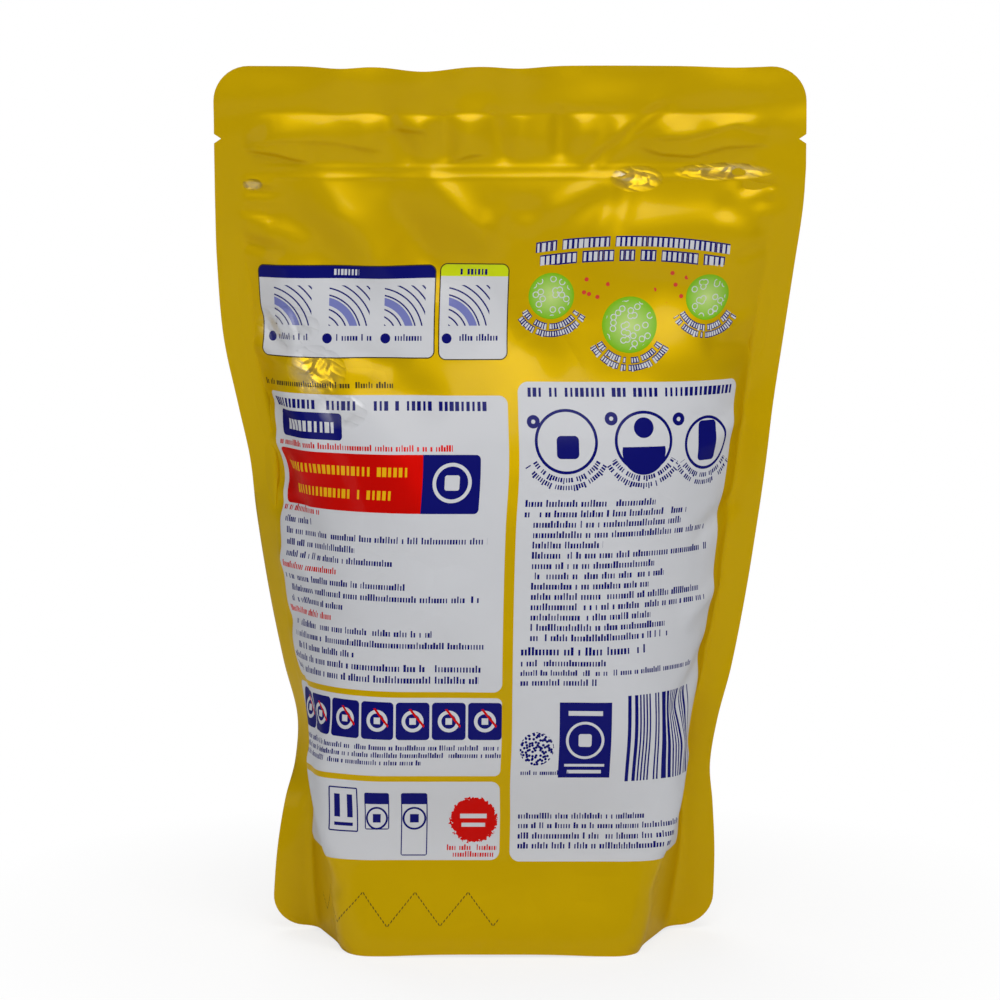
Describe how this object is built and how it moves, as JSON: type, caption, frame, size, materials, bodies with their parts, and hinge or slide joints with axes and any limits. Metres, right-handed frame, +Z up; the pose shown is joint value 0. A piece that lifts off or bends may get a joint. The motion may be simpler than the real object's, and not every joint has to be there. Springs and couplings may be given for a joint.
{
  "type": "stand-up pouch",
  "caption": "Filled, sealed stand-up film pouch with rounded corners, tear notches and a press-to-close strip across its header.",
  "frame": {"origin": "on the table, under the middle of the bag's bounding box", "axes": "+Z up from the foot to the top seal, +X along the width, -Y out of the back panel, the one with the small print"},
  "size_m": [0.2, 0.0812, 0.3],
  "materials": {
    "film": "printed laminate film, satin to glossy"
  },
  "bodies": {
    "root": {"pouch": "film"}
  },
  "joints": []
}
